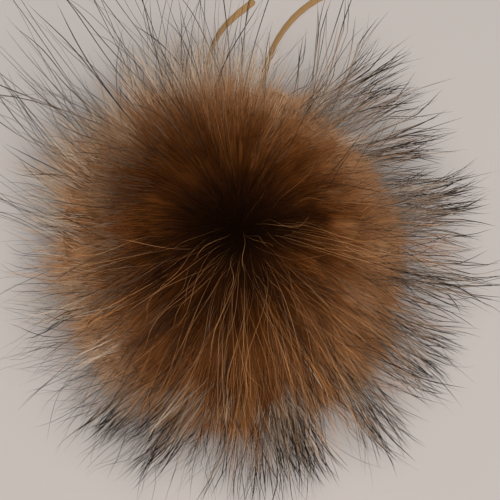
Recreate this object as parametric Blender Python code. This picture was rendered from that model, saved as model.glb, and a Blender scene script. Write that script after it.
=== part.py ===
"""A fur pom pom with its two lace ends, at real size in metres, +Z up.

The ball stands on its flat spot, whose middle is the origin. The whorl, where
the fur parts, points up. The lace ends come out under the ball towards +Y.
"""

import math
import random

import bmesh
import bpy
from mathutils import Vector, noise
from mathutils.geometry import interpolate_bezier

# The dense underfur: a ball with lumps in it and a whorl pressed into its top.
PILE_RADIUS = 0.0475
LUMP_HEIGHT = 0.0032
LUMPS_PER_METRE = 26.0
WHORL_DEPTH = 0.0085
WHORL_ANGLE = math.radians(17)

# The locks of guard hair. Each grows from one face of the ball.
LOCK_LENGTH = 0.0265
LOCK_ROOT_RADIUS = 0.0060
LOCK_LENGTH_SPREAD = 0.16
LONG_SIDE = math.radians(135)
LONG_SIDE_GAIN = 0.32
UNDER_BAND = (math.radians(95), math.radians(150))
SHORTEST_UNDER_BALL = 0.42
ROOT_SCALE = 0.80
ROOT_JITTER = 0.0016
STRAIGHT_AT_ROOT = 0.55
DIRECTION_JITTER = 0.09
SWIRL = 0.16
SPREAD_UNDER_BALL = 1.6
DROOP = 0.09
LOCK_SECTIONS = (
    # how far along the lock, width as a share of its root
    (0.24, 0.78),
    (0.50, 0.50),
    (0.76, 0.24),
)
LEAN_FROM_WHORL = (
    # angle from the whorl, how far the lock leans away from it, in degrees
    (0, 20),
    (15, 28),
    (40, 30),
    (75, 18),
    (100, 6),
    (180, 0),
)
EQUATOR_BAND = (math.radians(75), math.radians(125))
SETTLING_BAND = (0.006, 0.015)
SUNK_SHARE = 0.28

# The lace: a flat strip. Its two ends lie on the surface, behind the ball.
LACE_WIDTH = 0.0022
LACE_THICKNESS = 0.0008
LACE_LIFT = 0.00005
LACE_STEP = 0.003
LACE_TO_LOCK = 0.0006
SHORT_END_ROUTE = (
    # x, y, how far the strip is turned on its edge, in degrees
    (-0.0030, 0.0142, 0),
    (-0.0075, 0.0380, 5),
    (-0.0108, 0.0600, 40),
    (-0.0096, 0.0720, 60),
    (-0.0052, 0.0808, 40),
    (0.0042, 0.0893, 0),
)
LONG_END_ROUTE = (
    (0.0030, 0.0136, 0),
    (0.0045, 0.0380, 5),
    (0.0062, 0.0590, 20),
    (0.0098, 0.0728, 50),
    (0.0158, 0.0825, 35),
    (0.0235, 0.0892, 25),
    (0.0325, 0.0938, 0),
)

FUR_COLOUR = (0.205, 0.098, 0.044, 1.0)
LACE_COLOUR = (0.420, 0.240, 0.095, 1.0)
UP = Vector((0.0, 0.0, 1.0))
SEED = 7


def clear_scene():
    for obj in list(bpy.data.objects):
        bpy.data.objects.remove(obj)


def new_collection(name):
    collection = bpy.data.collections.new(name)
    bpy.context.scene.collection.children.link(collection)
    return collection


def cloth_material(name, colour, roughness):
    material = bpy.data.materials.new(name)
    material.use_nodes = True
    shader = material.node_tree.nodes["Principled BSDF"]
    shader.inputs["Base Color"].default_value = colour
    shader.inputs["Roughness"].default_value = roughness
    shader.inputs["Metallic"].default_value = 0.0
    return material


def any_way(chance, most):
    """A small vector with each of its sides drawn up to this size."""
    return Vector([chance.uniform(-most, most) for _ in range(3)])


def between(table, value):
    """The second column of a table at this value of the first, in straight steps."""
    for (low, first), (high, second) in zip(table, table[1:]):
        if value <= high:
            return first + (second - first) * (value - low) / (high - low)
    return table[-1][1]


def smooth_share(value, low, high):
    share = min(1.0, max(0.0, (value - low) / (high - low)))
    return share * share * (3 - 2 * share)


def lace_points(route):
    """The strip's points, read every few millimetres from one smooth curve through the route.

    Each is its place and its turn about its length. Turned on edge, it lies higher.
    """
    corners = [Vector((x, y, 0.0)) for x, y, _ in route]
    turns = [math.radians(turn) for _, _, turn in route]
    points = []
    for i in range(len(corners) - 1):
        start, end = corners[i], corners[i + 1]
        before = corners[max(i - 1, 0)]
        after = corners[min(i + 2, len(corners) - 1)]
        steps = max(2, round((end - start).length / LACE_STEP))
        handle_out = start + (end - before) / 6
        handle_in = end - (after - start) / 6
        curve = interpolate_bezier(start, handle_out, handle_in, end, steps + 1)
        for k, place in enumerate(curve[:-1]):
            points.append((place, turns[i] + (turns[i + 1] - turns[i]) * k / steps))
    points.append((corners[-1], turns[-1]))
    half_flat = (LACE_WIDTH - LACE_THICKNESS) / 2
    raised = []
    for place, turn in points:
        height = LACE_THICKNESS / 2 + half_flat * abs(math.sin(turn)) + LACE_LIFT
        raised.append((Vector((place.x, place.y, height)), turn))
    return raised


def lace_end(name, route, collection, material):
    """One free end of the lace: a strip with rounded edges, swept along its route."""
    data = bpy.data.curves.new(name, "CURVE")
    data.dimensions = "3D"
    data.twist_mode = "Z_UP"
    data.extrude = (LACE_WIDTH - LACE_THICKNESS) / 2
    data.bevel_depth = LACE_THICKNESS / 2
    data.bevel_resolution = 2
    data.use_fill_caps = True
    points = lace_points(route)
    spline = data.splines.new("POLY")
    spline.points.add(len(points) - 1)
    for target, (place, turn) in zip(spline.points, points):
        target.co = (*place, 1.0)
        target.tilt = math.pi / 2 + turn
    data.materials.append(material)
    obj = bpy.data.objects.new(name, data)
    collection.objects.link(obj)


def ball_cage():
    """A ball of 320 three-sided faces in a bmesh, standing on its lowest ring of points."""
    cage = bmesh.new()
    bmesh.ops.create_icosphere(cage, subdivisions=3, radius=PILE_RADIUS)
    lowest = min(cage.verts, key=lambda vert: vert.co.z)
    ring = [edge.other_vert(lowest) for edge in lowest.link_edges]
    middle = Vector((0.0, 0.0, -ring[0].co.z))
    bmesh.ops.translate(cage, verts=cage.verts, vec=middle)
    bmesh.ops.dissolve_verts(cage, verts=[lowest])
    return cage, ring, middle


def shape_ball(cage, ring, middle, chance):
    """Presses the whorl into the top and makes the ball uneven, but leaves what it stands on."""
    kept = set(ring)
    for vert in ring:
        kept.update(edge.other_vert(vert) for edge in vert.link_edges)
    for vert in cage.verts:
        if vert in kept:
            continue
        out = (vert.co - middle).normalized()
        slide = any_way(chance, ROOT_JITTER)
        vert.co += slide - out * slide.dot(out)
        lump = noise.noise(vert.co * LUMPS_PER_METRE) * LUMP_HEIGHT
        from_whorl = out.angle(UP)
        dip = WHORL_DEPTH * math.exp(-((from_whorl / WHORL_ANGLE) ** 2))
        vert.co += out * (lump - dip)


def lock_path(root, middle, chance):
    """Places and directions along one lock, for each of its sections and its tip.

    It starts straight out of the ball, leans away from the whorl with a slight swirl
    and droops a little. One that grows close above the surface comes down to it in an
    even curve, and its tip lies level on it.
    """
    out = (root - middle).normalized()
    level = Vector((out.x, out.y, 0.0)).normalized()
    sideways = UP.cross(level)
    from_whorl = out.angle(UP)
    away = sideways.cross(out)
    low_share = smooth_share(from_whorl, *EQUATOR_BAND)
    lean = math.radians(between(LEAN_FROM_WHORL, math.degrees(from_whorl)))
    swirl = sideways * SWIRL * math.sin(from_whorl)
    above = (out + away * math.tan(lean) + swirl).normalized()
    below = (out + level * SPREAD_UNDER_BALL + swirl).normalized()
    course = above.lerp(below, low_share).normalized()
    course = (course + any_way(chance, DIRECTION_JITTER)).normalized()
    bearing = math.atan2(out.y, out.x)
    length = LOCK_LENGTH * (1 + chance.uniform(-LOCK_LENGTH_SPREAD, LOCK_LENGTH_SPREAD))
    on_long_side = max(0.0, math.cos(bearing - LONG_SIDE)) ** 2 * math.sin(from_whorl)
    length *= 1 + LONG_SIDE_GAIN * on_long_side
    under = smooth_share(from_whorl, *UNDER_BAND)
    length *= 1 - (1 - SHORTEST_UNDER_BALL) * under
    stations = [0.0] + [along for along, _ in LOCK_SECTIONS] + [1.0]
    settled = 1 - smooth_share(root.z, *SETTLING_BAND)
    path = []
    for along in stations:
        straight = out.lerp(course, min(1.0, 1 - STRAIGHT_AT_ROOT + along))
        place = root + straight * length * along
        hanging = place.z - DROOP * length * along * along
        resting = root.z * (1 - along) ** 2
        place.z = hanging + (resting - hanging) * settled
        path.append(place)
    return out, path


def clear_of(path, laces):
    """Whether a lock keeps its distance from the lace ends."""
    widths = [width for _, width in LOCK_SECTIONS] + [0.0]
    for place, width in zip(path[1:], widths):
        reach = LOCK_ROOT_RADIUS * width + LACE_WIDTH / 2 + LACE_TO_LOCK
        if any((place - point).length < reach for point in laces):
            return False
    return True


def grow_lock(cage, face, out, path):
    """Draws one face of the ball out into a lock: a few sections and a pointed tip.

    A section on the surface sinks to it by a small share of its own height.
    """
    centre = face.calc_center_median()
    spokes = [vert.co - centre for vert in face.verts]
    for k, (_, width) in enumerate(LOCK_SECTIONS, start=1):
        heading = (path[k + 1] - path[k - 1]).normalized()
        turn = out.rotation_difference(heading)
        face = bmesh.ops.extrude_discrete_faces(cage, faces=[face])["faces"][0]
        half_height = max(abs((turn @ spoke).z) for spoke in spokes) * width
        place = path[k].copy()
        place.z = max(place.z, (1 - SUNK_SHARE) * half_height)
        for vert, spoke in zip(face.verts, spokes):
            vert.co = place + turn @ spoke * width
            vert.co.z = max(vert.co.z, 0.0)
    face = bmesh.ops.extrude_discrete_faces(cage, faces=[face])["faces"][0]
    tip = path[-1].copy()
    tip.z = max(tip.z, 0.0)
    bmesh.ops.pointmerge(cage, verts=face.verts[:], merge_co=tip)


def fur_ball(collection, material, laces):
    chance = random.Random(SEED)
    cage, ring, middle = ball_cage()
    shape_ball(cage, ring, middle, chance)
    roots = []
    for face in list(cage.faces):
        if any(vert in ring for vert in face.verts):
            continue
        out, path = lock_path(face.calc_center_median(), middle, chance)
        if clear_of(path, laces):
            roots.append((face, out, path))
    bmesh.ops.recalc_face_normals(cage, faces=cage.faces)
    for face, out, path in roots:
        edge = sum(side.calc_length() for side in face.edges) / len(face.edges)
        inset = (1 - ROOT_SCALE) * edge * math.sqrt(3) / 6
        bmesh.ops.inset_individual(cage, faces=[face], thickness=inset)
        grow_lock(cage, face, out, path)
    data = bpy.data.meshes.new("fur_ball")
    cage.to_mesh(data)
    cage.free()
    data.shade_smooth()
    data.set_sharp_from_angle(angle=math.radians(50))
    data.materials.append(material)
    obj = bpy.data.objects.new("fur_ball", data)
    collection.objects.link(obj)
    print(len(roots), "locks")


def main():
    clear_scene()
    parts = new_collection("fur_pom_pom")
    fur = cloth_material("fur", FUR_COLOUR, 0.75)
    lace = cloth_material("lace", LACE_COLOUR, 0.7)
    lace_end("lace_short_end", SHORT_END_ROUTE, parts, lace)
    lace_end("lace_long_end", LONG_END_ROUTE, parts, lace)
    both = lace_points(SHORT_END_ROUTE) + lace_points(LONG_END_ROUTE)
    fur_ball(parts, fur, [place for place, _ in both])


main()
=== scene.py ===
"""Looks of the fur pom pom: pelt, underfur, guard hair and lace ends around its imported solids.

Lengths are in metres. A place on the ball is given by its angle from the whorl, which is at
the top, and by its bearing, anticlockwise from +X as seen from above.
"""

import math

import bpy
import numpy as np
from bpy.props import FloatProperty, FloatVectorProperty, IntProperty, PointerProperty
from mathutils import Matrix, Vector


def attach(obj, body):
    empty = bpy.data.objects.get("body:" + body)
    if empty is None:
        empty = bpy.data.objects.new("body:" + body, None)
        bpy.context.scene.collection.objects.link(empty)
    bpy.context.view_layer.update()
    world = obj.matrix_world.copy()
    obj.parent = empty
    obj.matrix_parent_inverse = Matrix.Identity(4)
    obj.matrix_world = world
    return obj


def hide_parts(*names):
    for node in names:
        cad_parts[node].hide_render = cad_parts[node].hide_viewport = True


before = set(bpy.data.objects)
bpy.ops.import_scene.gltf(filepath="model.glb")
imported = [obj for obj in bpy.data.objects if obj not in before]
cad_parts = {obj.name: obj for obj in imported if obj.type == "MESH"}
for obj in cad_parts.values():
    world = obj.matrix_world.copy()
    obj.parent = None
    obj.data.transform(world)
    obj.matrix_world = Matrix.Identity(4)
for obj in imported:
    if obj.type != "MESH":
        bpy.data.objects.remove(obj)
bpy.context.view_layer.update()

bl_info = {
    "name": "Fur Pom Pom Looks",
    "version": (1, 0, 0),
    "blender": (4, 5, 0),
    "location": "3D View > Sidebar > Pom Pom",
    "description": "Dresses the solids of a fur pom pom in underfur, guard hair and lace",
    "category": "Object",
}

# The ball, as its solid has it, and how far the dense underfur reaches at each bearing.
BALL_MIDDLE = np.array([0.0, 0.0, 0.046])
REACH_AT_WHORL = 0.0595
REACH_BY_BEARING = (
    # bearing in degrees, reach of the underfur
    (0, 0.0480),
    (32, 0.0466),
    (60, 0.0508),
    (105, 0.0552),
    (125, 0.0570),
    (150, 0.0560),
    (190, 0.0526),
    (220, 0.0528),
    (240, 0.0550),
    (270, 0.0547),
    (290, 0.0506),
    (330, 0.0484),
    (360, 0.0480),
)
FLOOR_GAP = 0.0004

# The bearing at which the guard hair is longest.
LONG_SIDE = math.radians(135)

# Angles from the whorl between which the fur evens out under the ball, in radians, and the
# one at which its strands end.
UNDERSIDE = (2.2, 2.6)
STRANDS_END = math.radians(172)

# How the fur lies: its lean away from the whorl, in degrees, at the root and at the tip.
LIE_OF_FUR = (
    # angle from the whorl, lean at the root, lean at the tip
    (0, 10, 26),
    (15, 26, 52),
    (30, 30, 58),
    (50, 22, 42),
    (75, 9, 22),
    (95, 0, 6),
    (120, -14, -24),
    (150, -38, -52),
    (180, -60, -78),
)

# How much lighter the underfur is at each bearing: painted light and shade by side, lighter from the
# right round over the top to the upper left, and darker at the bottom.
PAINTED_LIGHT_BY_BEARING = (
    # bearing in degrees, change of shade
    (0, 0.11),
    (45, 0.12),
    (90, 0.14),
    (135, 0.19),
    (180, 0.00),
    (225, -0.05),
    (245, -0.14),
    (270, -0.19),
    (290, -0.10),
    (315, 0.01),
    (360, 0.11),
)

# How far the fur sways to the side at each bearing, anticlockwise as seen from above.
SWAY_BY_BEARING = (
    # bearing in degrees, sway as the tangent of its angle
    (0, -0.18),
    (15, -0.28),
    (30, -0.50),
    (45, -0.68),
    (60, -0.66),
    (80, -0.22),
    (100, -0.10),
    (120, -0.25),
    (140, -0.10),
    (190, -0.20),
    (240, -0.38),
    (265, -0.10),
    (288, 0.08),
    (307, 0.12),
    (330, 0.00),
    (343, -0.15),
    (360, -0.18),
)

# Darker patches in the underfur, painted shade where the fur parts, and lighter ones where the value
# is below zero.
PAINTED_SHADE_PATCHES = (
    # angle from the whorl, bearing, spread, all in degrees, and how much darker
    (33, 138, 9, 0.10),
    (34, 98, 12, 0.05),
    (34, 72, 12, 0.06),
    (14, 197, 9, 0.05),
    (26, 6, 9, 0.06),
    (40, 5, 9, 0.03),
    (14, -2, 7, 0.06),
    (24, -25, 7, -0.05),
    (38, -15, 9, -0.09),
    (53, -7, 8, -0.10),
    (60, 74, 9, 0.08),
    (16, 270, 8, 0.02),
    (21, 232, 10, 0.06),
    (34, 215, 10, 0.02),
    (12, 130, 7, -0.04),
    (62, 128, 15, -0.12),
    (76, 110, 14, -0.16),
    (35, 275, 13, -0.18),
    (46, -24, 12, -0.11),
    (50, -38, 12, -0.07),
)

# Patches where more of the underfur is pale and greyish, not warm brown.
PALE_PATCHES = (
    # angle from the whorl, bearing, spread, all in degrees, and share of pale strands
    (26, 155, 16, 0.40),
    (38, 182, 14, 0.35),
    (50, 138, 17, 0.35),
    (74, 112, 20, 0.75),
    (72, 88, 22, 0.60),
    (75, 150, 24, 0.60),
    (45, 208, 14, 0.85),
    (48, 232, 9, 0.60),
    (75, 195, 22, 0.45),
    (80, 235, 24, 0.45),
    (84, 20, 16, 0.35),
)

# Share of the loose side hair at each bearing.
SIDE_HAIR_SHARE = (
    # bearing in degrees, share
    (0, 0.8),
    (45, 0.7),
    (80, 0.20),
    (110, 0.12),
    (150, 0.10),
    (185, 0.12),
    (225, 0.35),
    (270, 0.65),
    (315, 0.75),
    (360, 0.8),
)

# Clumps of dark tips at the rim.
RIM_CLUMPS = (
    # bearing, angle from the whorl, both in degrees, reach of the tips, hairs, further sway
    (64, 78, 0.0790, 120, -0.25),
    (57, 74, 0.0840, 45, 0.85),
    (53, 86, 0.0750, 90, 0.25),
    (43, 82, 0.0750, 110, -0.15),
    (29, 90, 0.0730, 110, 0),
    (13, 84, 0.0755, 180, 0),
    (-9, 86, 0.0780, 180, 0),
    (-28, 84, 0.0760, 165, 0),
    (-49, 84, 0.0775, 175, 0),
    (-61, 70, 0.0650, 60, 0),
    (-74, 70, 0.0640, 110, 0),
    (-94, 72, 0.0635, 80, 0),
    (-71, 82, 0.0760, 150, 0),
    (-84, 88, 0.0750, 150, 0.1),
    (-104, 84, 0.0740, 140, -0.2),
    (-123, 80, 0.0720, 150, 0.1),
)

# The lace ends, along the routes of their solids.
SHORT_END_ROUTE = (
    # x, y, how far the strip is turned on its edge, in degrees
    (-0.0030, 0.0142, 0),
    (-0.0075, 0.0380, 5),
    (-0.0108, 0.0600, 40),
    (-0.0096, 0.0720, 60),
    (-0.0052, 0.0808, 40),
    (0.0042, 0.0893, 0),
)
LONG_END_ROUTE = (
    (0.0030, 0.0136, 0),
    (0.0045, 0.0380, 5),
    (0.0062, 0.0590, 20),
    (0.0098, 0.0728, 50),
    (0.0158, 0.0825, 35),
    (0.0235, 0.0892, 25),
    (0.0325, 0.0938, 0),
)
LACE_RISE = 0.00005

# The camera looks down on the whorl as in the photograph, whose frame is this wide.
CAMERA_ELEVATION = math.radians(81)
CAMERA_DISTANCE = 0.60
FRAME_WIDTH = 0.145
FRAME_PIXELS = 500
BALL_PIXEL = (240, 256)

UV_NAME = "OFBake"
SHADE_STEP = 1 / 128


class UnderfurSizes(bpy.types.PropertyGroup):
    strands: IntProperty(
        name="Strands", description="Number of underfur strands", default=48000, min=1000)
    pieces: IntProperty(
        name="Pieces", description="Meshes that the strands are shared among", default=4, min=1)
    depth: FloatProperty(
        name="Depth", description="How far below its reach a strand is rooted",
        default=0.0105, unit="LENGTH")
    width: FloatProperty(
        name="Width", description="Thickness of a strand", default=0.00017, unit="LENGTH")
    unevenness: FloatProperty(
        name="Unevenness", description="How much the strands differ in reach",
        default=0.0016, unit="LENGTH")
    tufting: FloatProperty(
        name="Tufting", description="How far neighbouring strands are drawn together",
        default=0.0014, unit="LENGTH")
    whorl_depth: FloatProperty(
        name="Whorl depth", description="Depth of the parting at the top",
        default=0.0075, unit="LENGTH")
    whorl_angle: FloatProperty(
        name="Whorl size", description="Angle from the whorl at which the parting ends",
        default=math.radians(11), subtype="ANGLE")
    shoulder: FloatProperty(
        name="Shoulder", description="How far the fur is pressed in half way down to the side",
        default=0.0024, unit="LENGTH")


class GuardHairSizes(bpy.types.PropertyGroup):
    side_locks: IntProperty(
        name="Side locks", description="Loose locks over the whole ball, of which those on the "
        "sides are grown", default=190, min=10)
    hairs_in_lock: FloatProperty(
        name="Hairs in a lock", description="Guard hairs in a loose lock", default=3.9, min=1.0)
    long_hairs: IntProperty(
        name="Long hairs", description="Long hairs or pairs of them", default=66, min=1)
    # Light hair is partly its own tan and partly painted sheen.
    tan_and_sheen_locks: IntProperty(
        name="Light locks", description="Locks of light hair near the whorl", default=195, min=1)
    dark_locks: IntProperty(
        name="Dark locks", description="Locks of dark hair near the whorl", default=190, min=1)
    whorl_hairs: IntProperty(
        name="Whorl hairs", description="Kinked hairs or tufts at the whorl", default=30, min=1)
    wisps: IntProperty(
        name="Wisps", description="Wisps of wool on the long side", default=85, min=1)
    fine_hairs: IntProperty(
        name="Fine hairs", description="Fine curved hairs round the rim", default=430, min=1)
    length: FloatProperty(
        name="Length", description="Length of a guard hair, most of it in the underfur",
        default=0.0310, unit="LENGTH")
    long_side: FloatProperty(
        name="Long side", description="Bearing at which the hairs are longest",
        default=LONG_SIDE, subtype="ANGLE")
    long_side_gain: FloatProperty(
        name="Long side gain", description="How much longer they are there, as a share",
        default=0.34, subtype="FACTOR")
    width: FloatProperty(
        name="Width", description="Thickness of a guard hair", default=0.00015, unit="LENGTH")


class LaceSizes(bpy.types.PropertyGroup):
    width: FloatProperty(
        name="Width", description="Width of the flat lace", default=0.0022, unit="LENGTH")
    thickness: FloatProperty(
        name="Thickness", description="Thickness of the flat lace", default=0.0008, unit="LENGTH")
    colour: FloatVectorProperty(
        name="Colour", description="Colour of the lace", subtype="COLOR", size=4,
        default=(0.44, 0.255, 0.10, 1.0), min=0.0, max=1.0)


class StudioSettings(bpy.types.PropertyGroup):
    floor: FloatVectorProperty(
        name="Floor", description="Colour of the floor", subtype="COLOR", size=4,
        default=(0.58, 0.54, 0.52, 1.0), min=0.0, max=1.0)
    key: FloatProperty(
        name="Key", description="Power of the soft light overhead, in watts", default=8.8)
    sky: FloatProperty(
        name="Sky", description="Strength of the even light from all round", default=0.155)


def bearing_of(d):
    return np.arctan2(d[:, 1], d[:, 0])


def from_whorl(d):
    return np.arccos(np.clip(d[:, 2], -1, 1))


def direction(angle, bearing):
    """Unit vectors at these angles from the whorl and bearings, in radians."""
    return np.stack([
        np.sin(angle) * np.cos(bearing),
        np.sin(angle) * np.sin(bearing),
        np.cos(angle) + 0 * bearing,
    ], axis=-1)


def unit(v):
    return v / np.maximum(np.linalg.norm(v, axis=-1, keepdims=True), 1e-12)


def smooth_step(x, low, high):
    """0 below low, 1 above high, and 3t² - 2t³ between them."""
    t = np.clip((x - low) / (high - low), 0, 1)
    return t * t * (3 - 2 * t)


def column(table, n):
    return np.array([row[n] for row in table], float)


def by_bearing(table, d):
    """A table's second column at the bearings of these directions, in straight steps."""
    return np.interp(np.degrees(bearing_of(d)) % 360, column(table, 0), column(table, 1))


def patches(table, d):
    """The sum over a table's patches of a bell shape round the middle of each, times its
    strength."""
    total = 0 * d[:, 2]
    for angle, bearing, spread, strength in table:
        at = direction(np.radians([angle]), np.radians([bearing]))[0]
        away = np.degrees(np.arccos(np.clip(d @ at, -1, 1)))
        total = total + strength * np.exp(-((away / spread) ** 2))
    return total


def even_directions(count, rng, jitter=1.0):
    """Directions in a spiral of equal areas, each turned by the golden angle from the last
    and shifted at random by up to jitter times their spacing."""
    k = np.arange(count)
    height = 1 - 2 * (k + 0.5) / count
    bearing = k * math.pi * (3 - math.sqrt(5))
    d = direction(np.arccos(height), bearing)
    return unit(d + rng.uniform(-1, 1, (count, 3)) * jitter * 2 / math.sqrt(count))


def ripple(d, waves, seed, outputs=1, terms=24):
    """Smooth noise over directions: the mean of many sines, each of a random slant of about
    this many waves round the ball and a random phase. Its usual size is 1."""
    rng = np.random.default_rng(seed)
    slant = rng.normal(0, waves / 1.7, (terms, 3))
    phase = rng.uniform(0, 2 * math.pi, (outputs, terms))
    at = d @ slant.T
    total = np.stack([np.sin(at + p).sum(axis=1) for p in phase], axis=-1)
    total *= math.sqrt(2 / terms)
    return total[:, 0] if outputs == 1 else total


def reach(d):
    """How far the underfur reaches from the ball's middle: the reach at its bearing, eased to
    the whorl's by the square of the sine of the angle from it, less a bell-shaped parting
    and a shallow bell half way down to the side, and cut short where the floor is nearer."""
    sizes = bpy.context.scene.underfur
    angle = from_whorl(d)
    around = by_bearing(REACH_BY_BEARING, d)
    full = REACH_AT_WHORL + (around - REACH_AT_WHORL) * np.sin(angle) ** 2
    full = full + 0.0012 * ripple(d, 8, 11) + 0.0006 * ripple(d, 24, 12)
    full = full - sizes.whorl_depth * np.exp(-((angle / sizes.whorl_angle) ** 2))
    full = full - sizes.shoulder * np.exp(-(((angle - math.radians(46)) / 0.33) ** 2))
    down = np.maximum(-d[:, 2], 1e-6)
    return np.minimum(full, (BALL_MIDDLE[2] - FLOOR_GAP) / down)


def fur_tone_and_painted_light(d):
    """0 at the whorl and 1 at 100 degrees from it, plus the change of its bearing, slow ripples and
    streaks that run out from the whorl, less the painted shade patches. The rise from the whorl is
    partly the pelt's own darker colour there and partly painted shade in the whorl's parting and
    painted light at the rim, and the change of its bearing is painted light and shade by side."""
    shade = from_whorl(d) / math.radians(100)
    # Painted light and shade by side.
    change = by_bearing(PAINTED_LIGHT_BY_BEARING, d)
    shade = shade + change * smooth_step(shade, 0.05, 0.35)
    shade = shade + 0.036 * ripple(d, 5, 21) + 0.022 * ripple(d, 14, 22)
    level = unit(d * [1, 1, 0] + [1e-9, 0, 0])
    streaks = 0.030 * ripple(level, 26, 27) + 0.026 * ripple(level, 80, 28)
    fade = 1 - 0.6 * smooth_step(shade, 0.6, 1)
    shade = shade + streaks * smooth_step(shade, 0.05, 0.30) * fade
    return np.clip(shade - patches(PAINTED_SHADE_PATCHES, d), 0.0, 1.0)


def pale_share(d):
    """Share of pale strands: a few everywhere and more in the pale patches, with ripples."""
    return (0.04 + patches(PALE_PATCHES, d)) * (1 + 0.5 * ripple(d, 14, 26))


def drift(d):
    """Sideways sway of the fur as a whole: that of its bearing on the sides, and slow ripples."""
    around = by_bearing(SWAY_BY_BEARING, d)
    on_sides = smooth_step(from_whorl(d), math.radians(15), math.radians(60))
    return around * on_sides + 0.20 * ripple(d, 2.6, 23) + 0.10 * ripple(d, 7, 24)


def lie(d, amount=1.0):
    """Lean at the root and at the tip, in radians, at most 1.45, as an array of two columns."""
    angle = np.degrees(from_whorl(d))
    root = np.interp(angle, column(LIE_OF_FUR, 0), column(LIE_OF_FUR, 1))
    tip = np.interp(angle, column(LIE_OF_FUR, 0), column(LIE_OF_FUR, 2))
    uneven = 1 + 0.22 * ripple(d, 4, 25)[:, None]
    return np.minimum(np.radians(np.stack([root, tip], axis=1)) * amount * uneven, 1.45)


def grow(d, start, length, lean, sway, droop, stations):
    """Paths of strands, by strand, station and axis. A strand's heading is straight out times
    the cosine of its lean, plus away from the whorl times its sine, plus sideways times its
    sway, and lean and sway turn evenly from root to tip. The path is the running sum of steps
    along the heading, less droop times the square of the share of its length."""
    flat = np.hypot(d[:, 0], d[:, 1])[:, None] + 1e-9
    side = np.stack([-d[:, 1], d[:, 0], 0 * d[:, 0]], axis=1) / flat
    away = np.cross(side, d)
    middle = (stations[1:] + stations[:-1]) / 2
    angle = lean[:, :1] + (lean[:, 1:] - lean[:, :1]) * middle
    swing = sway[:, :1] + (sway[:, 1:] - sway[:, :1]) * middle
    heading = unit(d[:, None] * np.cos(angle)[..., None] + away[:, None] * np.sin(angle)[..., None]
                   + side[:, None] * swing[..., None])
    steps = heading * (length[:, None] * np.diff(stations))[..., None]
    path = np.zeros((len(d), len(stations), 3))
    path[:, 1:] = np.cumsum(steps, axis=1)
    path += start[:, None]
    path[..., 2] -= (droop * length)[:, None] * stations**2
    return path


def curl(path, stations, amount, waves, rng):
    """Adds two sine waves across each strand, of this many turns and a random phase, that
    grow from nothing at the root to this amount at the tip."""
    along = unit(path[:, -1] - path[:, 0])
    first = unit(np.cross(along, rng.normal(size=along.shape)))
    second = np.cross(along, first)
    for across in (first, second):
        phase = rng.uniform(0, 2 * math.pi, (len(path), 1))
        turn = 2 * math.pi * waves[:, None] * stations + phase
        wave = (np.sin(turn) - np.sin(phase)) * amount[:, None] * stations
        path = path + across[:, None] * wave[..., None]
    return path


def gather(path, centre, pull, stations):
    """Draws strands towards the middle strand of their clump, by a share that rises from
    nothing at the root to pull at three quarters of the length and falls a little after."""
    share = smooth_step(stations, 0.1, 0.75) * (1 - 0.30 * smooth_step(stations, 0.75, 1.0))
    return path + (centre - path) * (pull[:, None] * share)[..., None]


def on_floor(path):
    """Keeps strands on the floor: below twice the gap, their height is eased to the gap."""
    low = path[..., 2]
    path[..., 2] = FLOOR_GAP + np.logaddexp(0, (low - FLOOR_GAP) / 0.0006) * 0.0006
    return path


def tapered(stations, full_until=0.45, tip=0.30):
    """Width of a strand along it, as a share: full, then falling evenly to the last ring."""
    return 1 - (1 - tip) * smooth_step(stations, full_until, 1.0)


def shield(stations):
    """Width of a guard hair along it: thin at the root, widest at 0.7, and thin at the tip."""
    wide = 0.5 + 0.5 * smooth_step(stations, 0.2, 0.65)
    return wide * (1 - 0.75 * smooth_step(stations, 0.76, 1.0))


def strand_mesh(path, radius, shade, pale, stations):
    """Points, triangles and UV of three-sided strands with a point at each end.

    A ring's corner k lies at radius times (cos, sin) of k thirds of a turn, in the plane
    across the path. U is the strand's shade. V runs from root to tip, in its lower half for
    warm strands and in its upper half for pale ones."""
    count, sections = path.shape[:2]
    tangent = unit(np.gradient(path, axis=1))
    first = unit(np.cross(tangent, np.roll(tangent[:, -1:], 1, axis=2) + [[[0.3, 0.5, 0.1]]]))
    second = np.cross(tangent, first)
    turn = np.arange(3) * 2 * math.pi / 3
    ring = first[:, :, None] * np.cos(turn)[:, None] + second[:, :, None] * np.sin(turn)[:, None]
    ring = path[:, 1:-1, None] + ring[:, 1:-1] * radius[:, 1:-1, None, None]
    rings = sections - 2
    points = np.concatenate(
        [path[:, :1], ring.reshape(count, rings * 3, 3), path[:, -1:]], axis=1)
    last = rings * 3 + 1
    k = np.arange(3)
    after = (k + 1) % 3
    low = 1 + 3 * np.arange(rings - 1)[:, None]
    one = [
        np.stack([0 * k, 1 + after, 1 + k], axis=1),
        np.stack([low + k, low + after, low + 3 + after], axis=2).reshape(-1, 3),
        np.stack([low + k, low + 3 + after, low + 3 + k], axis=2).reshape(-1, 3),
        np.stack([last - 3 + k, last - 3 + after, last + 0 * k], axis=1),
    ]
    faces = np.concatenate(one)[None] + (np.arange(count) * (last + 1))[:, None, None]
    across = np.concatenate([[0.5], np.tile([0.0, 1.0, 0.5], rings), [0.5]]) * SHADE_STEP
    along = np.concatenate([stations[:1], np.repeat(stations[1:-1], 3), stations[-1:]])
    u = np.clip(shade, 0, 1)[:, None] * (1 - SHADE_STEP) + across
    v = (0.01 + 0.98 * along + pale[:, None]) / 2
    uv = np.stack([u, v], axis=2)
    return points.reshape(-1, 3), faces.reshape(-1, 3), uv.reshape(-1, 2)


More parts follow.
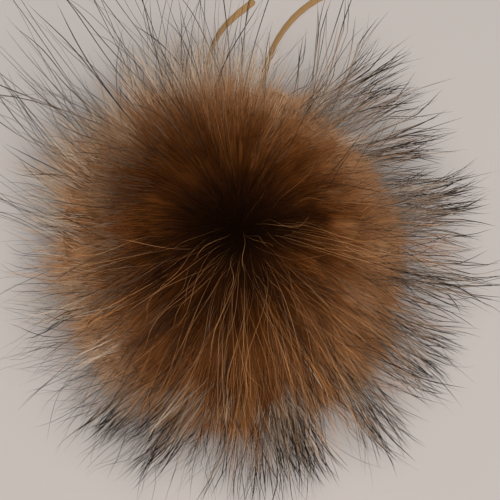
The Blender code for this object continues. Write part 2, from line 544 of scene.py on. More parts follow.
def make_piece(name, points, faces, uv, material, node):
    """Puts arrays of points, triangles and a UV for each point into a mesh object, which
    rides on the part and stands for the solid of this node."""
    mesh = bpy.data.meshes.new(name)
    mesh.vertices.add(len(points))
    mesh.vertices.foreach_set("co", points.astype(np.float32).ravel())
    mesh.loops.add(faces.size)
    mesh.loops.foreach_set("vertex_index", faces.astype(np.int32).ravel())
    mesh.polygons.add(len(faces))
    mesh.polygons.foreach_set("loop_start", np.arange(0, faces.size, 3, dtype=np.int32))
    mesh.polygons.foreach_set("use_smooth", np.ones(len(faces), bool))
    layer = mesh.uv_layers.new(name=UV_NAME)
    layer.data.foreach_set("uv", uv[faces.ravel()].astype(np.float32).ravel())
    mesh.update(calc_edges=True)
    mesh.validate()
    mesh.materials.append(material)
    obj = bpy.data.objects.new(name, mesh)
    bpy.context.scene.collection.objects.link(obj)
    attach(obj, "root")
    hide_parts(node)
    return obj


def grid_faces(rows, columns):
    """Triangles between rows of points that close on themselves, with a point at each end."""
    k = np.arange(columns)
    after = (k + 1) % columns
    low = 1 + columns * np.arange(rows - 1)[:, None]
    last = rows * columns + 1
    return np.concatenate([
        np.stack([0 * k, 1 + k, 1 + after], axis=1),
        np.stack([low + k, low + columns + k, low + columns + after], axis=2).reshape(-1, 3),
        np.stack([low + k, low + columns + after, low + after], axis=2).reshape(-1, 3),
        np.stack([last - columns + k, last + 0 * k, last - columns + after], axis=1),
    ])


def put(tree, kind, inputs=None, **settings):
    """Adds a node and feeds its inputs: an output is linked, and anything else is a value."""
    node = tree.nodes.new(kind)
    for name, value in settings.items():
        setattr(node, name, value)
    for key, value in (inputs or {}).items():
        if isinstance(value, bpy.types.NodeSocket):
            tree.links.new(value, node.inputs[key])
        else:
            node.inputs[key].default_value = value
    return node


def calc(tree, operation, *values):
    inputs = dict(enumerate(values))
    return put(tree, "ShaderNodeMath", inputs, operation=operation).outputs[0]


def eased(tree, value, low, high):
    inputs = {"Value": value, "From Min": low, "From Max": high}
    node = put(tree, "ShaderNodeMapRange", inputs, interpolation_type="SMOOTHSTEP")
    return node.outputs["Result"]


def mixed(tree, factor, first, second, blend="MIX"):
    inputs = {0: factor, 6: first, 7: second}
    node = put(tree, "ShaderNodeMix", inputs, data_type="RGBA", blend_type=blend)
    return node.outputs[2]


def ramp(tree, factor, stops):
    """A colour ramp of (position, colour) stops."""
    node = put(tree, "ShaderNodeValToRGB", {"Fac": factor})
    elements = node.color_ramp.elements
    while len(elements) > 1:
        elements.remove(elements[-1])
    elements[0].position, elements[0].color = stops[0]
    for position, colour in stops[1:]:
        elements.new(position).color = colour
    return node.outputs["Color"]


def grey(value):
    return (value, value, value, 1.0)


def screen_colour(red, green, blue, gain=1.0):
    """A linear colour from 8-bit screen values, times a gain."""
    c = np.array([red, green, blue]) / 255
    linear = np.where(c > 0.04045, ((c + 0.055) / 1.055) ** 2.4, c / 12.92)
    return (*(linear * gain).tolist(), 1.0)


def new_group(name, inputs, outputs):
    """A shader node group with these (name, kind, default) inputs and (name, kind) outputs."""
    tree = bpy.data.node_groups.new(name, "ShaderNodeTree")
    for label, kind, default in inputs:
        socket = tree.interface.new_socket(label, in_out="INPUT", socket_type=kind)
        if default is not None:
            socket.default_value = default
    for label, kind in outputs:
        tree.interface.new_socket(label, in_out="OUTPUT", socket_type=kind)
    return tree, tree.nodes.new("NodeGroupInput"), tree.nodes.new("NodeGroupOutput")


def along_hair_group():
    """Masks of a strand: Body rises along it from Root Shade to 1, a painted shade that darkens the
    roots among the strands, Tip rises from 0 to 1, and Pale is 1 where V is in its upper half."""
    name = "along_hair"
    if name in bpy.data.node_groups:
        return bpy.data.node_groups[name]
    tree, given, out = new_group(name, [
        ("V", "NodeSocketFloat", 0.0),
        ("Root Shade", "NodeSocketFloat", 0.3),
        ("Tip Start", "NodeSocketFloat", 0.6),
        ("Tip Length", "NodeSocketFloat", 0.2),
    ], [("Body", "NodeSocketFloat"), ("Tip", "NodeSocketFloat"), ("Pale", "NodeSocketFloat")])
    pale = calc(tree, "GREATER_THAN", given.outputs["V"], 0.5)
    along = calc(tree, "SUBTRACT", calc(tree, "MULTIPLY", given.outputs["V"], 2.0), pale)
    rise = eased(tree, along, 0.05, 0.75)
    room = calc(tree, "SUBTRACT", 1.0, given.outputs["Root Shade"])
    body = calc(tree, "MULTIPLY_ADD", rise, room, given.outputs["Root Shade"])
    end = calc(tree, "ADD", given.outputs["Tip Start"], given.outputs["Tip Length"])
    tip = eased(tree, along, given.outputs["Tip Start"], end)
    tree.links.new(body, out.inputs["Body"])
    tree.links.new(tip, out.inputs["Tip"])
    tree.links.new(pale, out.inputs["Pale"])
    return tree


def fibre_streaks_group():
    """Noise drawn out into streaks: Across varies fast, Along slowly. Streak is about 0.5."""
    name = "fibre_streaks"
    if name in bpy.data.node_groups:
        return bpy.data.node_groups[name]
    tree, given, out = new_group(name, [
        ("Vector", "NodeSocketVector", None),
        ("Detail", "NodeSocketFloat", 3.0),
        ("Contrast", "NodeSocketFloat", 1.0),
    ], [("Streak", "NodeSocketFloat")])
    noise = put(tree, "ShaderNodeTexNoise", {
        "Vector": given.outputs["Vector"],
        "Scale": 1.0,
        "Detail": given.outputs["Detail"],
        "Roughness": 0.6,
    })
    centred = calc(tree, "SUBTRACT", noise.outputs[0], 0.5)
    streak = calc(tree, "MULTIPLY_ADD", centred, given.outputs["Contrast"], 0.5)
    tree.links.new(streak, out.inputs["Streak"])
    return tree


def new_material(name, roughness, specular=0.5):
    material = bpy.data.materials.new(name)
    material.use_nodes = True
    shader = material.node_tree.nodes["Principled BSDF"]
    shader.inputs["Roughness"].default_value = roughness
    shader.inputs["Specular IOR Level"].default_value = specular
    return material, material.node_tree, shader


# Tones of the underfur from the whorl outwards, for warm strands and for pale ones. The dark end is
# partly the pelt's own darker colour and partly painted shade in the whorl's parting, and the light
# end is partly its own tan and partly painted light at the rim.
FUR_TONES = (
    # share of 100 degrees from the whorl, warm and pale screen colour, gain for the shade
    # between strands
    (0.00, (19, 8, 3), (19, 11, 6), 2.3),
    (0.07, (27, 12, 4), (29, 17, 10), 2.3),
    (0.13, (37, 17, 6), (40, 25, 16), 2.2),
    (0.20, (53, 27, 9), (54, 36, 25), 2.1),
    (0.30, (77, 42, 15), (78, 57, 42), 2.05),
    (0.42, (101, 61, 31), (104, 81, 62), 2.05),
    (0.56, (121, 82, 51), (130, 106, 84), 2.2),
    (0.72, (136, 101, 71), (150, 126, 103), 2.4),
    (1.00, (147, 114, 85), (166, 143, 120), 2.8),
)


def fur_stops(kind=1):
    """Stops of a colour ramp of the warm tones, or of the pale ones where kind is 2."""
    return [(row[0], screen_colour(*row[kind], row[3])) for row in FUR_TONES]


def strand_masks(tree, root_shade):
    """The shade of a strand, which is U, and its group of masks along it, fed with V."""
    where = put(tree, "ShaderNodeUVMap", uv_map=UV_NAME).outputs["UV"]
    split = put(tree, "ShaderNodeSeparateXYZ", {0: where}).outputs
    masks = put(tree, "ShaderNodeGroup", {"V": split["Y"], "Root Shade": root_shade},
                node_tree=along_hair_group())
    return split["X"], masks


def underfur_material():
    material, tree, shader = new_material("underfur", 0.8, 0.02)
    shade, masks = strand_masks(tree, 0.42)
    warm = ramp(tree, shade, fur_stops())
    base = mixed(tree, masks.outputs["Pale"], warm, ramp(tree, shade, fur_stops(2)))
    # The Body mask paints shade, darker towards the roots.
    colour = mixed(tree, 1.0, base, masks.outputs["Body"], "MULTIPLY")
    tree.links.new(colour, shader.inputs["Base Color"])
    return material


def guard_material():
    """Hair by its shade: dark ones up to a quarter, tan ones with a black end up to three quarters,
    and above that light ones that stay light, whose golden colour is partly their own tan and partly
    painted sheen. Pale ones are wool of one colour."""
    material, tree, shader = new_material("guard_hair", 0.5, 0.10)
    shade, masks = strand_masks(tree, 0.5)
    start = ramp(tree, shade, [
        (0.00, grey(0.15)), (0.24, grey(0.40)), (0.26, grey(0.48)), (0.74, grey(0.76)),
        (0.76, grey(1.0)), (1.00, grey(1.0))])
    tree.links.new(start, masks.inputs["Tip Start"])
    masks.inputs["Tip Length"].default_value = 0.16
    # From 0.76 up, the golden tones are partly the hair's own tan and partly painted sheen.
    base = ramp(tree, shade, [
        (0.00, (0.024, 0.013, 0.008, 1)), (0.24, (0.080, 0.040, 0.020, 1)),
        (0.26, (0.230, 0.155, 0.105, 1)), (0.74, (0.500, 0.380, 0.285, 1)),
        (0.76, (0.290, 0.112, 0.032, 1)), (1.00, (0.930, 0.450, 0.180, 1))])
    # The Body mask paints shade, darker towards the roots.
    body = mixed(tree, 1.0, base, masks.outputs["Body"], "MULTIPLY")
    hair = mixed(tree, masks.outputs["Tip"], body, (0.018, 0.0125, 0.0095, 1))
    wool = ramp(tree, shade, [(0.0, (0.58, 0.43, 0.31, 1)), (1.0, (0.96, 0.80, 0.64, 1))])
    colour = mixed(tree, masks.outputs["Pale"], hair, wool)
    tree.links.new(colour, shader.inputs["Base Color"])
    return material


def pelt_material():
    """The inside of the fur between the strands: the same tones, darker as painted shade of its
    depth, and streaked along the meridians, because the streaks' position is the level direction from
    the ball's axis."""
    material, tree, shader = new_material("pelt", 0.9, 0.0)
    where = put(tree, "ShaderNodeTexCoord").outputs["Object"]
    split = put(tree, "ShaderNodeSeparateXYZ", {0: where}).outputs
    squares = calc(tree, "ADD", calc(tree, "MULTIPLY", split["X"], split["X"]),
                   calc(tree, "MULTIPLY", split["Y"], split["Y"]))
    level = calc(tree, "ADD", calc(tree, "SQRT", squares), 0.0005)
    place = put(tree, "ShaderNodeCombineXYZ", {
        0: calc(tree, "MULTIPLY", calc(tree, "DIVIDE", split["X"], level), 60.0),
        1: calc(tree, "MULTIPLY", calc(tree, "DIVIDE", split["Y"], level), 60.0),
        2: calc(tree, "MULTIPLY", split["Z"], 160.0)})
    streaks = put(tree, "ShaderNodeGroup", {"Vector": place.outputs[0], "Contrast": 1.6},
                  node_tree=fibre_streaks_group())
    # The attribute holds the fur's tone with its painted light and shade.
    shade = put(tree, "ShaderNodeAttribute", attribute_name="fur_tone_and_painted_light").outputs["Fac"]
    base = ramp(tree, shade, fur_stops())
    # Painted shade of the depth, with the streaks: the tones are multiplied by the streaks times 0.8,
    # plus 0.15.
    strength = calc(tree, "MULTIPLY_ADD", streaks.outputs[0], 0.8, 0.15)
    colour = mixed(tree, 1.0, base, strength, "MULTIPLY")
    tree.links.new(colour, shader.inputs["Base Color"])
    bump = put(tree, "ShaderNodeBump", {
        "Height": streaks.outputs[0], "Strength": 0.8, "Distance": 0.0006})
    tree.links.new(bump.outputs[0], shader.inputs["Normal"])
    return material


def lace_material(colour):
    """Flat braided lace: UV runs across it in U and along it, in its widths, in V."""
    material, tree, shader = new_material("lace", 0.62, 0.3)
    where = put(tree, "ShaderNodeUVMap", uv_map="LaceRun").outputs["UV"]
    split = put(tree, "ShaderNodeSeparateXYZ", {0: where}).outputs
    u_turns = calc(tree, "MULTIPLY", split["X"], 2 * math.pi * 8)
    v_turns = calc(tree, "MULTIPLY", split["Y"], 2 * math.pi * 2.2)
    one = calc(tree, "SINE", calc(tree, "ADD", u_turns, v_turns))
    two = calc(tree, "SINE", calc(tree, "SUBTRACT", u_turns, v_turns))
    braid = calc(tree, "MULTIPLY_ADD", calc(tree, "MAXIMUM", one, two), 0.5, 0.5)
    place = put(tree, "ShaderNodeCombineXYZ", {
        0: calc(tree, "MULTIPLY", split["X"], 60.0), 1: calc(tree, "MULTIPLY", split["Y"], 5.0)})
    streaks = put(tree, "ShaderNodeGroup", {"Vector": place.outputs[0], "Contrast": 1.4},
                  node_tree=fibre_streaks_group())
    deep = tuple(c * 0.62 for c in colour[:3]) + (1.0,)
    light = tuple(min(1.0, c * 1.22) for c in colour[:3]) + (1.0,)
    tone = calc(tree, "MULTIPLY_ADD", braid, 0.5, calc(tree, "MULTIPLY", streaks.outputs[0], 0.6))
    tree.links.new(mixed(tree, tone, deep, light), shader.inputs["Base Color"])
    bump = put(tree, "ShaderNodeBump", {"Height": tone, "Strength": 0.7, "Distance": 0.0002})
    tree.links.new(bump.outputs[0], shader.inputs["Normal"])
    return material


def floor_material(colour):
    material, tree, shader = new_material("floor", 0.7, 0.2)
    where = put(tree, "ShaderNodeTexCoord").outputs["Object"]
    noise = put(tree, "ShaderNodeTexNoise", {"Vector": where, "Scale": 14.0, "Detail": 4.0})
    dim = tuple(c * 0.975 for c in colour[:3]) + (1.0,)
    tree.links.new(mixed(tree, noise.outputs[0], dim, colour), shader.inputs["Base Color"])
    return material


def hair_start(d, below):
    """Where hairs are rooted: on the ball, this far below the reach of the underfur."""
    return BALL_MIDDLE + d * (reach(d) - below)[:, None]


class POM_OT_pelt(bpy.types.Operator):
    """Makes the dense inside of the fur, which closes the view between the strands"""
    bl_idname = "pom.pelt"
    bl_label = "Pelt"

    def execute(self, context):
        rows, columns = 96, 192
        depth = 0.0046
        angle = math.pi * np.arange(1, rows + 1) / (rows + 1)
        bearing = 2 * math.pi * np.arange(columns) / columns
        d = direction(np.repeat(angle, columns), np.tile(bearing, rows))
        d = np.concatenate([[[0, 0, 1.0]], d, [[0, 0, -1.0]]])
        below = depth + 0.0005 * ripple(d, 40, 31)
        below = below * (1 - 0.95 * smooth_step(from_whorl(d), *UNDERSIDE))
        points = BALL_MIDDLE + d * (reach(d) - below)[:, None]
        points = on_floor(points[:, None])[:, 0]
        uv = np.stack([bearing_of(d) / (2 * math.pi) + 0.5, from_whorl(d) / math.pi], axis=1)
        obj = make_piece("pelt", points, grid_faces(rows, columns), uv,
                         pelt_material(), "fur_ball")
        obj.data.uv_layers.remove(obj.data.uv_layers[UV_NAME])
        # The fur's tone, with painted shade at the whorl and in the partings and painted light at the
        # rim and by side.
        shade = obj.data.attributes.new("fur_tone_and_painted_light", "FLOAT", "POINT")
        shade.data.foreach_set("value", fur_tone_and_painted_light(d).astype(np.float32))
        return {"FINISHED"}


class POM_OT_underfur(bpy.types.Operator):
    """Grows the short dense wool that gives the ball its body"""
    bl_idname = "pom.underfur"
    bl_label = "Underfur"

    def execute(self, context):
        sizes = context.scene.underfur
        rng = np.random.default_rng(41)
        stations = np.array([0.0, 0.36, 0.74, 1.0])
        material = underfur_material()
        d = even_directions(sizes.strands, rng)
        d = rng.permutation(d[from_whorl(d) < STRANDS_END])
        lean = lie(d, 0.85) + rng.normal(0, 0.10, (len(d), 1))
        loose = 1 + 1.6 * smooth_step(np.cos(bearing_of(d) - LONG_SIDE), -0.2, 0.8)
        loose = loose * (0.55 + 0.5 * ripple(d, 12, 42).clip(-0.9, 2))
        extra = sizes.unevenness * (rng.normal(0, 0.6, len(d))
                                    + rng.exponential(1.0, len(d)) * loose - 1.0)
        extra = extra * (1 - 0.9 * smooth_step(from_whorl(d), *UNDERSIDE))
        length = (sizes.depth + extra) / np.cos(lean.mean(axis=1))
        sway = drift(d)[:, None] + rng.normal(0, 0.12, (len(d), 2))
        path = grow(d, hair_start(d, sizes.depth), length, lean, sway,
                    np.full(len(d), 0.05), stations)
        tuft = ripple(d, 60, 44, outputs=3, terms=40) * sizes.tufting
        tuft += ripple(d, 26, 46, outputs=3, terms=30) * sizes.tufting * 0.8
        path += tuft[:, None] * (stations**1.5)[:, None]
        path = on_floor(curl(path, stations, np.full(len(d), 0.0004), np.full(len(d), 1.3), rng))
        # The fur's tone, with painted shade at the whorl and in the partings and painted light at the
        # rim and by side, plus some noise.
        shade = fur_tone_and_painted_light(d) + rng.normal(0, 0.026, len(d)) + 0.020 * ripple(d, 44, 45)
        pale = rng.uniform(size=len(d)) < pale_share(d)
        radius = sizes.width / 2 * rng.uniform(0.8, 1.2, len(d))[:, None] * tapered(stations)
        for n in range(sizes.pieces):
            pick = slice(n, None, sizes.pieces)
            points, faces, uv = strand_mesh(
                path[pick], radius[pick], shade[pick], pale[pick], stations)
            make_piece(f"underfur_{n + 1}", points, faces, uv, material, "fur_ball")
        return {"FINISHED"}


def plant(name, heart, count, rng, length, *, below=0.013, spread=0.08, uneven=0.12,
          lean=0.9, lean_noise=(0.10, 0.12), sway=None, sway_noise=(0.12, 0.26), droop=0.06,
          pull=(0.2, 0.7), wave=0.0006, turns=(0.4, 1.0), shade=(0.1, 0.7), pale=0.0,
          width=1.0, rings=6):
    """Makes one mesh of guard hair in clumps.

    Each clump has its heart's direction, its count of hairs and its length, and its hairs are
    scattered about the heart by spread. Lean is a share of the lie of the fur, and each noise
    is the spread at the root and at the tip. Hairs are drawn to the clump's middle strand by a
    share between those of pull, shade is between the two given, and pale is the share of hairs
    that are pale wool."""
    sizes = bpy.context.scene.guard_hair
    stations = np.linspace(0, 1, rings + 2) ** 0.85
    which = np.repeat(np.arange(len(heart)), count)
    n = len(which)
    d = unit(heart[which] + rng.normal(0, spread, (n, 3)))
    sway = drift(heart) + (0 if sway is None else sway)
    sway = np.stack([sway * 0.5, sway], axis=1)
    length = np.broadcast_to(length, len(heart))
    droop = np.full(max(n, len(heart)), droop)
    middle = grow(heart, hair_start(heart, below), length, lie(heart, lean), sway,
                  droop[:len(heart)], stations)
    hair_lean = lie(d, lean) + rng.normal(0, 1, (n, 2)) * lean_noise
    hair_sway = sway[which] + rng.normal(0, 1, (n, 2)) * sway_noise
    hair_length = length[which] * (1 + uneven * rng.normal(-0.3, 1, n).clip(-2.5, 1.2))
    path = grow(d, hair_start(d, below), hair_length, hair_lean, hair_sway, droop[:n], stations)
    path = gather(path, middle[which], rng.uniform(*pull, n), stations)
    path = curl(path, stations, wave * rng.uniform(0.4, 1.6, n), rng.uniform(*turns, n), rng)
    wide = sizes.width / 2 * width * np.exp(rng.normal(-0.1, 0.38, n)).clip(0.35, 1.7)
    radius = wide[:, None] * shield(stations)
    points, faces, uv = strand_mesh(on_floor(path), radius, rng.uniform(*shade, n),
                                    rng.uniform(size=n) < pale, stations)
    make_piece(name, points, faces, uv, hair_material(), "fur_ball")


def guard_length(d):
    """Length of the guard hair: longer on the long side and shorter under the ball."""
    sizes = bpy.context.scene.guard_hair
    off = np.cos(bearing_of(d) - sizes.long_side)
    gain = sizes.long_side_gain * np.maximum(off, 0) ** 2 * np.sin(from_whorl(d))
    under = 1 - 0.50 * smooth_step(from_whorl(d), math.radians(95), math.radians(150))
    return sizes.length * (1 + gain) * under


class POM_OT_side_hair(bpy.types.Operator):
    """Grows the loose guard hair all round the sides"""
    bl_idname = "pom.side_hair"
    bl_label = "Side hair"

    def execute(self, context):
        sizes = context.scene.guard_hair
        rng = np.random.default_rng(51)
        heart = even_directions(sizes.side_locks, rng, 2.0)
        angle = from_whorl(heart)
        heart = heart[(angle > math.radians(48)) & (angle < math.radians(150))]
        count = rng.poisson(sizes.hairs_in_lock * by_bearing(SIDE_HAIR_SHARE, heart))
        plant("side_hair", heart, count, rng, guard_length(heart) * rng.uniform(0.8, 1.0, len(heart)),
              spread=0.07, sway=rng.normal(0, 0.34, len(heart)), lean=0.85, pull=(0.1, 0.8),
              wave=0.0011, shade=(0.10, 0.70), width=1.35)
        return {"FINISHED"}


class POM_OT_rim_clumps(bpy.types.Operator):
    """Grows the thick clumps of black-tipped hair at the rim"""
    bl_idname = "pom.rim_clumps"
    bl_label = "Rim clumps"

    def execute(self, context):
        rng = np.random.default_rng(71)
        table = np.repeat(np.array(RIM_CLUMPS, float), 6, axis=0)
        n = len(table)
        bearing = np.radians(table[:, 0] + rng.normal(0, 3.6, n))
        angle = np.radians(table[:, 1] + rng.normal(-6, 12, n))
        heart = direction(angle, bearing)
        below = 0.013
        length = (table[:, 2] - reach(heart) + below) * rng.uniform(0.80, 1.10, n)
        plant("rim_clumps", heart, rng.poisson(table[:, 3] / 13.5), rng, length, below=below,
              spread=0.05, sway=table[:, 4] + rng.normal(0, 0.20, n), lean=0.8,
              pull=(0.2, 0.95), wave=0.0012, shade=(0.24, 0.74), width=1.50)
        return {"FINISHED"}


class POM_OT_long_hair(bpy.types.Operator):
    """Grows the long sparse hairs of the long side, which cross one another"""
    bl_idname = "pom.long_hair"
    bl_label = "Long hair"

    def execute(self, context):
        sizes = context.scene.guard_hair
        rng = np.random.default_rng(81)
        n = sizes.long_hairs
        bearing = sizes.long_side + np.linspace(-0.84, 0.66, n) + rng.normal(0, 0.09, n)
        heart = direction(np.radians(rng.uniform(44, 98, n)), bearing)
        length = sizes.length * rng.uniform(1.25, 2.15, n)
        plant("long_hair", heart, rng.choice([1, 1, 2, 2], n), rng, length, spread=0.02,
              lean=0.7, lean_noise=(0.12, 0.14), sway=rng.normal(0, 0.50, n),
              sway_noise=(0.05, 0.12), pull=(0.5, 1.0), wave=0.0024, turns=(0.3, 0.75),
              shade=(0.0, 0.38), width=1.24, rings=10)
        return {"FINISHED"}


class POM_OT_crown_hair(bpy.types.Operator):
    """Grows the thin hairs that lie outwards over the ball, light ones, which are partly tan and
    partly painted sheen, and dark ones
    """
    bl_idname = "pom.crown_hair"
    bl_label = "Crown hair"

    def execute(self, context):
        sizes = context.scene.guard_hair
        rng = np.random.default_rng(61)
        n = sizes.tan_and_sheen_locks
        bearing = np.radians(rng.normal(-62, 55, n))
        angle = rng.uniform(8, 66, n)
        heart = direction(np.radians(angle), bearing)
        length = sizes.length * (1.5 - angle / 105) * rng.uniform(0.75, 1.1, n)
        plant("tan_and_sheen_hair", heart, rng.poisson(2.6, n), rng, length,
              below=0.007, spread=0.04, lean=1.45, lean_noise=(0.10, 0.12), droop=0.12,
              sway=rng.normal(0, 0.24, n), sway_noise=(0.06, 0.15), pull=(0.2, 0.9),
              wave=0.0007, turns=(0.4, 1.1), shade=(0.765, 1.0), width=0.38, rings=9)
        n = sizes.dark_locks
        bearing = np.radians(np.where(rng.uniform(size=n) < 0.84, rng.normal(-60, 50, n),
                                      rng.normal(140, 45, n)))
        heart = direction(np.radians(rng.uniform(14, 90, n)), bearing)
        plant("dark_hair", heart, rng.poisson(3, n), rng, sizes.length * rng.uniform(0.7, 1.1, n),
              below=0.009, spread=0.05, lean=1.3, lean_noise=(0.12, 0.16), droop=0.10,
              sway=rng.normal(0, 0.40, n), sway_noise=(0.10, 0.20), pull=(0.2, 0.8),
              wave=0.0010, turns=(0.4, 1.2), shade=(0.0, 0.30), width=0.85, rings=8)
        return {"FINISHED"}


class POM_OT_wisps(bpy.types.Operator):
    """Grows the soft wisps of tan wool that stand out of the underfur on the long side"""
    bl_idname = "pom.wisps"
    bl_label = "Wisps"

    def execute(self, context):
        sizes = context.scene.guard_hair
        rng = np.random.default_rng(111)
        n = sizes.wisps
        bearing = sizes.long_side + rng.normal(-0.20, 0.70, n)
        heart = direction(np.radians(rng.uniform(55, 104, n)), bearing)
        plant("wisps", heart, rng.poisson(18, n), rng, sizes.length * rng.uniform(0.62, 1.02, n),
              spread=0.06, lean=0.8, lean_noise=(0.06, 0.12), sway=rng.normal(0, 0.20, n),
              sway_noise=(0.08, 0.18), pull=(0.5, 1.0), wave=0.0008, shade=(0.3, 1.0),
              pale=0.85, width=0.68)
        return {"FINISHED"}


class POM_OT_whorl_hair(bpy.types.Operator):
    """Grows the kinked hairs that start at the whorl and lie over it, light ones, which are partly
    tan and partly painted sheen
    """
    bl_idname = "pom.whorl_hair"
    bl_label = "Whorl hair"

    def execute(self, context):
        sizes = context.scene.guard_hair
        rng = np.random.default_rng(101)
        n = sizes.whorl_hairs
        bearing = np.radians(rng.normal(-70, 50, n))
        heart = direction(np.radians(rng.uniform(3, 22, n)), bearing)
        plant("whorl_hair", heart, rng.choice([1, 2, 3], n), rng,
              sizes.length * rng.uniform(0.40, 0.90, n), below=0.002, spread=0.03, lean=1.9,
              lean_noise=(0.20, 0.16), sway=rng.normal(0, 0.40, n), sway_noise=(0.20, 0.35),
              pull=(0.0, 0.5), wave=0.0009, turns=(0.5, 1.4), shade=(0.765, 0.97), width=0.29,
              rings=11)
        return {"FINISHED"}


class POM_OT_fine_hair(bpy.types.Operator):
    """Grows the fine curved hairs that show in a haze low on the left and all round the rim"""
    bl_idname = "pom.fine_hair"
    bl_label = "Fine hair"

    def execute(self, context):
        sizes = context.scene.guard_hair
        rng = np.random.default_rng(91)
        n = sizes.fine_hairs
        bearing = np.radians(np.where(rng.uniform(size=n) < 0.62, rng.uniform(185, 290, n),
                                      rng.uniform(0, 360, n)))
        heart = direction(np.radians(rng.uniform(75, 120, n)), bearing)
        plant("fine_hair", heart, np.ones(n, int), rng, sizes.length * rng.uniform(0.75, 1.3, n),
              lean=0.9, lean_noise=(0.2, 0.3), sway=rng.normal(0, 0.50, n),
              sway_noise=(0.1, 0.35), pull=(0.0, 0.2), wave=0.0024, turns=(0.5, 1.3),
              shade=(0.05, 0.6), width=0.52, rings=9)
        return {"FINISHED"}


def hair_material():
    return bpy.data.materials.get("guard_hair") or guard_material()


def smooth_route(route, per_span=10):
    """Points and turns along one smooth curve through a route: on each span, the cubic whose
    ends head along the line between the neighbours of its corner."""
    corners = np.array([row[:2] for row in route])
    turns = np.radians(column(route, 2))
    before = np.concatenate([corners[:1], corners[:-2]])
    after = np.concatenate([corners[2:], corners[-1:]])
    t = np.arange(per_span)[:, None, None] / per_span
    start, end = corners[:-1], corners[1:]
    out, into = start + (end - before) / 6, end - (after - start) / 6
    line = (start * (1 - t) ** 3 + 3 * out * t * (1 - t) ** 2
            + 3 * into * t**2 * (1 - t) + end * t**3)
    line = np.concatenate([line.transpose(1, 0, 2).reshape(-1, 2), corners[-1:]])
    share = np.linspace(0, len(route) - 1, len(line))
    return line, np.interp(share, np.arange(len(route)), turns)


class POM_OT_lace_ends(bpy.types.Operator):
    """Makes the two flat lace ends that come out from under the ball"""
    bl_idname = "pom.lace_ends"
    bl_label = "Lace ends"

    def execute(self, context):
        sizes = context.scene.lace
        material = lace_material(tuple(sizes.colour))
        self.end("lace_short", "lace_short_end", SHORT_END_ROUTE, sizes, material)
        self.end("lace_long", "lace_long_end", LONG_END_ROUTE, sizes, material)
        return {"FINISHED"}

    def end(self, name, node, route, sizes, material):
        """A flat strip along its route. Its section is a rounded oblong, half its width times
        cos and half its thickness times sin, each to the power given by roundness, and it is
        turned about its length by the route's turn. Both ends close in two smaller sections."""
        line, turn = smooth_route(route)
        half_flat = (sizes.width - sizes.thickness) / 2
        height = sizes.thickness / 2 + half_flat * np.abs(np.sin(turn)) + LACE_RISE
        path = np.column_stack([line, height])
        columns = 20
        roundness = 0.6
        around = 2 * math.pi * np.arange(columns) / columns
        wide = np.sign(np.cos(around)) * np.abs(np.cos(around)) ** roundness * sizes.width / 2
        thick = np.sign(np.sin(around)) * np.abs(np.sin(around)) ** roundness * sizes.thickness / 2
        ahead = unit(np.gradient(path, axis=0))
        level = unit(np.stack([ahead[:, 1], -ahead[:, 0], 0 * turn], axis=1))
        upright = np.cross(level, ahead)
        across = level * np.cos(turn)[:, None] + upright * np.sin(turn)[:, None]
        through = upright * np.cos(turn)[:, None] - level * np.sin(turn)[:, None]
        taper = np.ones(len(path))
        taper[[0, -1]] = 0.55
        taper[[1, -2]] = 0.92
        uneven = 1 + 0.05 * np.sin(np.arange(len(path)) * 1.7)
        ring = (across[:, None] * wide[:, None] * (taper * uneven)[:, None, None]
                + through[:, None] * thick[:, None] * taper[:, None, None])
        points = (path[:, None] + ring).reshape(-1, 3)
        points = np.concatenate([path[:1], points, path[-1:]])
        points[:, 2] = np.maximum(points[:, 2], LACE_RISE)
        faces = grid_faces(len(path), columns)
        run = np.concatenate([[0], np.cumsum(np.linalg.norm(np.diff(path, axis=0), axis=1))])
        u = np.concatenate([[0.5], np.tile(np.arange(columns) / columns, len(path)), [0.5]])
        v = np.concatenate([[0], np.repeat(run, columns), run[-1:]]) / sizes.width
        obj = make_piece(name, points, faces, np.stack([u, v], axis=1), material, node)
        obj.data.uv_layers[UV_NAME].name = "LaceRun"


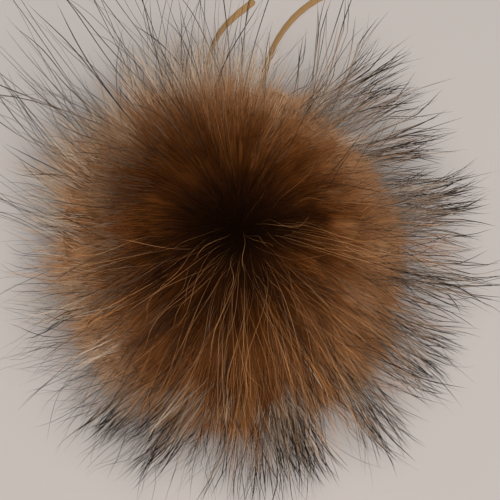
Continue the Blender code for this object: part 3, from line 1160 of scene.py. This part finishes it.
class POM_OT_stage(bpy.types.Operator):
    """Makes the floor, the soft light and the camera"""
    bl_idname = "pom.stage"
    bl_label = "Stage"

    def execute(self, context):
        settings = context.scene.studio
        scene = context.scene
        mesh = bpy.data.meshes.new("floor")
        half = 2.0
        mesh.from_pydata([(-half, -half, 0), (half, -half, 0), (half, half, 0), (-half, half, 0)],
                         [], [(0, 1, 2, 3)])
        mesh.materials.append(floor_material(tuple(settings.floor)))
        floor = bpy.data.objects.new("floor", mesh)
        scene.collection.objects.link(floor)
        world = bpy.data.worlds.new("room")
        world.use_nodes = True
        background = world.node_tree.nodes["Background"]
        background.inputs["Color"].default_value = (1.0, 0.975, 0.95, 1.0)
        background.inputs["Strength"].default_value = settings.sky
        scene.world = world
        self.lamp("overhead", (0.06, -0.14, 1.0), 0.40, settings.key, (1.0, 0.97, 0.94))
        self.camera(scene)
        scene.view_settings.view_transform = "Standard"
        return {"FINISHED"}

    def lamp(self, name, place, side, power, colour):
        data = bpy.data.lights.new(name, "AREA")
        data.shape = "DISK"
        data.size = side
        data.energy = power
        data.color = colour
        obj = bpy.data.objects.new(name, data)
        obj.location = place
        aim = Vector(BALL_MIDDLE) - Vector(place)
        obj.rotation_euler = aim.to_track_quat("-Z", "Y").to_euler()
        bpy.context.scene.collection.objects.link(obj)

    def camera(self, scene):
        """Aims beside the ball's middle, so that it falls on its own pixel."""
        data = bpy.data.cameras.new("camera")
        data.sensor_width = 36
        data.lens = 36 * CAMERA_DISTANCE / FRAME_WIDTH
        data.clip_start = 0.01
        per_pixel = FRAME_WIDTH / FRAME_PIXELS
        right = (FRAME_PIXELS / 2 - BALL_PIXEL[0]) * per_pixel
        up = (BALL_PIXEL[1] - FRAME_PIXELS / 2) * per_pixel
        back = Vector((0, -math.cos(CAMERA_ELEVATION), math.sin(CAMERA_ELEVATION)))
        upwards = Vector((0, math.sin(CAMERA_ELEVATION), math.cos(CAMERA_ELEVATION)))
        target = Vector(BALL_MIDDLE) + Vector((right, 0, 0)) + upwards * up
        obj = bpy.data.objects.new("camera", data)
        obj.location = target + back * CAMERA_DISTANCE
        obj.rotation_euler = (math.pi / 2 - CAMERA_ELEVATION, 0, 0)
        scene.collection.objects.link(obj)
        scene.camera = obj


STEPS = (POM_OT_stage, POM_OT_lace_ends, POM_OT_pelt, POM_OT_underfur, POM_OT_side_hair,
         POM_OT_rim_clumps, POM_OT_long_hair, POM_OT_crown_hair, POM_OT_whorl_hair,
         POM_OT_wisps, POM_OT_fine_hair)
SETTINGS = (
    ("underfur", UnderfurSizes),
    ("guard_hair", GuardHairSizes),
    ("lace", LaceSizes),
    ("studio", StudioSettings),
)


class POM_PT_panel(bpy.types.Panel):
    bl_label = "Fur Pom Pom"
    bl_idname = "POM_PT_panel"
    bl_space_type = "VIEW_3D"
    bl_region_type = "UI"
    bl_category = "Pom Pom"

    def draw(self, context):
        for name, kind in SETTINGS:
            box = self.layout.box()
            box.label(text=name.replace("_", " ").capitalize())
            for prop in kind.__annotations__:
                box.prop(getattr(context.scene, name), prop)
        for step in STEPS:
            self.layout.operator(step.bl_idname)


def register():
    for name, kind in SETTINGS:
        bpy.utils.register_class(kind)
        setattr(bpy.types.Scene, name, PointerProperty(type=kind))
    for kind in (*STEPS, POM_PT_panel):
        bpy.utils.register_class(kind)


def unregister():
    for kind in (POM_PT_panel, *reversed(STEPS)):
        bpy.utils.unregister_class(kind)
    for name, kind in reversed(SETTINGS):
        delattr(bpy.types.Scene, name)
        bpy.utils.unregister_class(kind)


def main():
    register()
    for step in STEPS:
        group, name = step.bl_idname.split(".")
        getattr(getattr(bpy.ops, group), name)()


if __name__ == "__main__":
    main()
